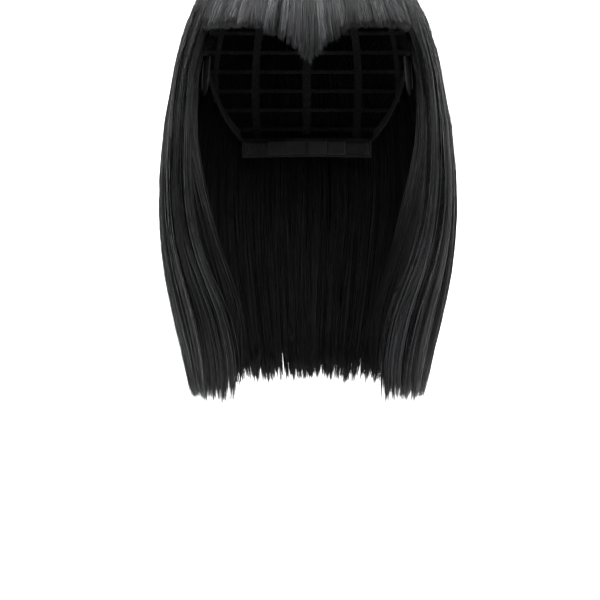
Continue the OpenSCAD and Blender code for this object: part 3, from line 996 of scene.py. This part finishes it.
def sewn(name, kind, body="cap", centre=(0.0, 0.0), upright=False, bend=None):
    """A cap piece rebuilt as cloth with its rows of stitches on both faces, in place of its CAD node."""
    relief, mat, slot, rows = CAP_KINDS[kind]
    made = Build()
    parts = solids(name)
    for i, solid in enumerate(parts):
        strip = Strip(solid, centre, upright)
        share = CLOTH_SHARE / len(parts)
        window = (0.01 + share * i, share * (i + 0.96))
        cloth(made, strip, relief, window)
        for face in (-1, 1):
            for v0, v1, pitch in rows:
                stitches(made, strip, v0, v1, pitch, face)
        if kind == "loops":
            pile(made, strip)
    ob = made.finish(f"{name}_sewn", [cloths[mat], cloths["stitch_thread"]], slot)
    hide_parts(name)
    if bend:
        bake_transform(ob)
        return ob
    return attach(ob, body)


def pile(made, strip):
    """Tiny standing loops over the inner face of a strip."""
    spacing, long, tall, radius = 0.9 * MM, 0.7 * MM, 0.3 * MM, 0.06 * MM
    rng = np.random.default_rng(SEED + 30)
    n = int(strip.length * strip.width / spacing ** 2)
    s = np.linspace(0, 1, 5)[None, :]
    turn = rng.uniform(0, 2 * np.pi, (n, 1))
    u = rng.uniform(0.03, 0.97, (n, 1)) + np.cos(turn) * (s - 0.5) * long / strip.length
    v = rng.uniform(0.12, 0.88, (n, 1)) + np.sin(turn) * (s - 0.5) * long / strip.width
    middle, normal, half = strip.at(u, v)
    points = middle - normal * (half * 0.8 + tall * np.sin(np.pi * s)[..., None])
    threads(made, points, normal, np.full(points.shape[:2], radius), 3, 0)


HEAD_MIDDLE = Vector((0, 0, -18 * MM))


def onto(tree, direction):
    """The point where a ray from the middle of the head meets a piece, or None."""
    return tree.ray_cast(HEAD_MIDDLE, direction)[0]


def net_point(tree, x, y):
    """A point of the flat net carried onto the dome, with areas kept."""
    flat_radius = 90 * MM
    share = math.hypot(x, y) / (2 * flat_radius)
    if share >= 0.98:
        return None
    fall, turn = 2 * math.asin(share), math.atan2(y, x)
    x, y = math.sin(fall) * math.cos(turn), math.sin(fall) * math.sin(turn)
    return onto(tree, Vector((x, y, math.cos(fall))))


def crown_net():
    """Six-sided mesh of thread, stretched over the dome."""
    tree = shape.tree("crown_net")
    side, thread, far = 2.5 * MM, 0.17 * MM, 180 * MM
    wide, tall = math.sqrt(3) * side, 1.5 * side
    starts, ends = [], []
    for j in range(int(-far / tall), int(far / tall) + 1):
        for i in range(int(-far / wide), int(far / wide) + 1):
            x, y = wide * (i + 0.5 * (j % 2)), tall * j
            knot = net_point(tree, x, y)
            if knot is None:
                continue
            for dx, dy in ((0, side), (-wide / 2, -side / 2), (wide / 2, -side / 2)):
                other = net_point(tree, x + dx, y + dy)
                if other is not None:
                    starts.append(knot)
                    ends.append(other)
    a, b = np.array(starts), np.array(ends)
    outward = unit(a - np.array(HEAD_MIDDLE))[:, None] * 0.2 * MM
    line = mix(a[:, None], b[:, None], np.array([-0.02, 0.5, 1.02])[None, :, None]) + outward
    size = np.full(line.shape[:2], thread)
    size[:, 1] *= 0.75
    columns = 64
    made = Build()
    made.skins(tubes(line, np.repeat(outward, 3, axis=1), size, size), columns, np.arange(len(a)) % columns)
    ob = made.finish("crown_net_mesh", [cloths["net_thread"]], "cap_net")
    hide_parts("crown_net")
    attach(ob, "cap")


def crown_patch():
    """The thin domed patch that the crown hair is implanted in."""
    points = solids("crown_patch")[0][0]
    tree = shape.tree("crown_patch")
    reach = np.arctan2(np.hypot(points[:, 0], points[:, 1]), points[:, 2] - HEAD_MIDDLE.z).max()
    around, rows = 96, 26

    def way(fall, turn):
        return Vector((math.sin(fall) * math.sin(turn), -math.sin(fall) * math.cos(turn), math.cos(fall)))

    def rim(turn):
        """How far from the crown the patch reaches on one side, by halving."""
        low, high = 0.0, reach * 1.05
        for _ in range(14):
            middle = (low + high) / 2
            low, high = (middle, high) if onto(tree, way(middle, turn)) else (low, middle)
        return low * 0.995

    turns = [(turn, rim(turn)) for turn in np.linspace(0, 2 * np.pi, around, endpoint=False)]
    loops = []
    for far in (True, False):
        for share in np.linspace(0.01, 1.0, rows):
            loop = []
            for turn, edge in turns:
                out = way(share * edge, turn)
                hit = tree.ray_cast(HEAD_MIDDLE + out * Strip.FAR, -out)[0] if far else onto(tree, out)
                loop.append(hit if hit is not None else loop[-1])
            loops.append(loop)
    grid = np.array(loops)
    grid = np.concatenate([grid[:rows], grid[rows:][::-1]])
    made = Build()
    made.skins(grid[None])
    ob = made.finish("crown_patch_implanted", [cloths["implanted_skin"]], "implanted_skin")
    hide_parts("crown_patch")
    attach(ob, "cap")


def cap():
    """Every piece of the cap, in place of its CAD node."""
    crown_net()
    crown_patch()
    nape_axis = (0.0, joint_place("adjuster_left_slide")[1])
    for name in ("front_band", "side_band_left", "side_band_right"):
        sewn(name, "band")
    sewn("nape_band", "band", centre=nape_axis)
    for name in [n for n in nodes if n.startswith("back_tape_")]:
        sewn(name, "elastic", upright=True)
    for name in [n for n in nodes if "track" in n]:
        sewn(name, "track")
    for side in ("left", "right"):
        tab = f"adjuster_tab_{side}"
        sewn(f"landing_strip_{side}", "loops", centre=nape_axis)
        sewn(f"strap_anchor_{side}", "anchor", centre=nape_axis)
        far, near = (sum(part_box(n), Vector()) / 2 for n in (f"strap_anchor_{side}", tab))
        sewn(f"strap_{side}", "elastic", f"adjuster_{side}", nape_axis, bend=(far, near))
        sewn(tab, "hooks", f"adjuster_{side}", nape_axis)
        sewn(f"ear_tab_{side}", "band", f"ear_{side}")
        sewn(f"ear_stay_{side}", "stay", f"ear_{side}")


cap()


# ------------ camera, floor and light

VIEW_HEIGHT = -170 * MM
VIEW_FIELD = 426 * MM  # width of the picture at the wig
VIEW_DISTANCE = 2.4
VIEW_SHIFT = -5 * MM
VIEW_ELEVATION = math.radians(4)
SENSOR = 36.0

FLOOR_Z = -0.9
SHEET_FAR = 5.0
ROOM_LIGHT = 0.04
WIG_LAMPS = {  # place, width and power in watts
    "key_above": ((0.2, -1.0, 1.75), 0.8, 104),
    "fill_front": ((0.2, -1.7, 1.1), 0.8, 30),
}


def camera():
    """Straight ahead of the wig and a little above it."""
    data = bpy.data.cameras.new("camera")
    data.sensor_width = SENSOR
    data.lens = SENSOR * VIEW_DISTANCE / VIEW_FIELD
    ob = placed("camera", data)
    ob.location = (VIEW_SHIFT, -VIEW_DISTANCE * math.cos(VIEW_ELEVATION),
                   VIEW_HEIGHT + VIEW_DISTANCE * math.sin(VIEW_ELEVATION))
    ob.rotation_euler = (math.pi / 2 - VIEW_ELEVATION, 0, 0)
    bpy.context.scene.camera = ob


def backdrop():
    """A white sheet that lies flat and turns up behind the wig."""
    near, radius, half_width, height, steps = -14.0, 1.2, 12.0, 5.0, 24
    bend = SHEET_FAR - radius
    profile = [(near, FLOOR_Z), (bend, FLOOR_Z)]
    for k in range(1, steps + 1):
        a = math.radians(90 * k / steps)
        profile.append((bend + radius * math.sin(a), FLOOR_Z + radius * (1 - math.cos(a))))
    profile.append((SHEET_FAR, FLOOR_Z + height))
    n = len(profile)
    points = [(x, y, z) for x in (-half_width, half_width) for y, z in profile]
    me = bpy.data.meshes.new("backdrop")
    me.from_pydata(points, [], [(i, n + i, n + i + 1, i + 1) for i in range(n - 1)])
    for face in me.polygons:
        face.use_smooth = True
    ob = placed("backdrop", me)
    paper, _, _ = material("backdrop_paper", (0.93, 0.93, 0.93), 0.9, 0.1)
    ob.data.materials.append(paper)


def area(name, location, target, size, power):
    """A square lamp that faces a target."""
    data = bpy.data.lights.new(name, "AREA")
    data.shape = "RECTANGLE"
    data.size = data.size_y = size
    data.energy = power
    ob = placed(name, data)
    ob.location = location
    ob.rotation_euler = (Vector(target) - Vector(location)).to_track_quat("-Z", "Y").to_euler()


def lighting():
    """A dim room, a soft key high in front with a weak fill under it, and two lamps that whiten the sheet."""
    world = bpy.data.worlds.new("studio")
    bpy.context.scene.world = world
    world.use_nodes = True
    background = world.node_tree.nodes["Background"]
    background.inputs["Color"].default_value = (1, 1, 1, 1)
    background.inputs["Strength"].default_value = ROOM_LIGHT
    for name, (place, size, power) in WIG_LAMPS.items():
        area(name, place, (0, 0, 0), size, power)
    for x in (-1.4, 1.4):
        area("backdrop_lamp", (x, 2.4, 1.4), (x * 0.6, SHEET_FAR, -0.5), 1.2, 130)
    bpy.context.scene.view_settings.view_transform = "Standard"


camera()
backdrop()
lighting()
